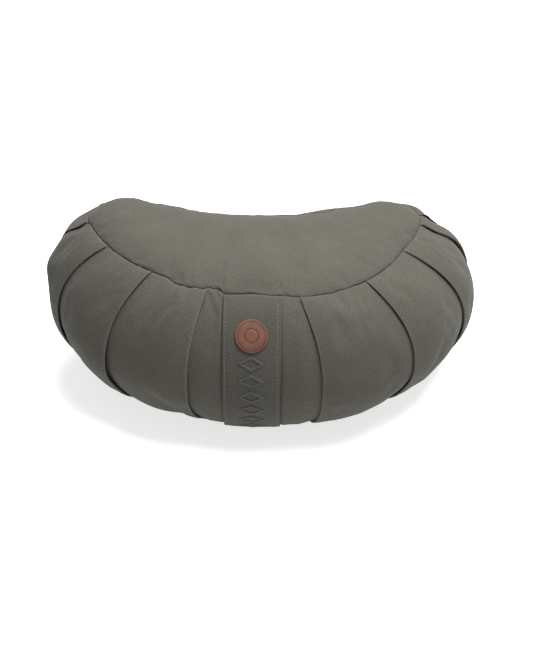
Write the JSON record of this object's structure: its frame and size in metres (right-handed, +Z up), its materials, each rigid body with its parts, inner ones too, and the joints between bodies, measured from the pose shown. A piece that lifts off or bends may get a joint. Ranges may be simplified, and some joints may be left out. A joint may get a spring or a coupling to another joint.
{
  "type": "crescent meditation cushion",
  "caption": "Filled crescent-shaped floor cushion for seated meditation, with a crowned plain top, a knife-pleated side, a sewn front band and a round leather patch.",
  "frame": {"origin": "on the surface the cushion lies on, under the middle of its box", "axes": "+X to the right along the cushion's length as seen from the band, +Y towards the hollow back, -Y the convex front with the band, +Z up"},
  "size_m": [0.452, 0.279, 0.1856],
  "materials": {
    "cotton_twill": "matte twill weave, warm grey-olive",
    "cotton_twill_band": "matte twill weave, warm grey-olive",
    "tan_leather": "smooth, softly satin"
  },
  "bodies": {
    "root": {"cushion": "cotton_twill", "front_band": "cotton_twill_band", "leather_patch": "tan_leather"}
  },
  "joints": []
}
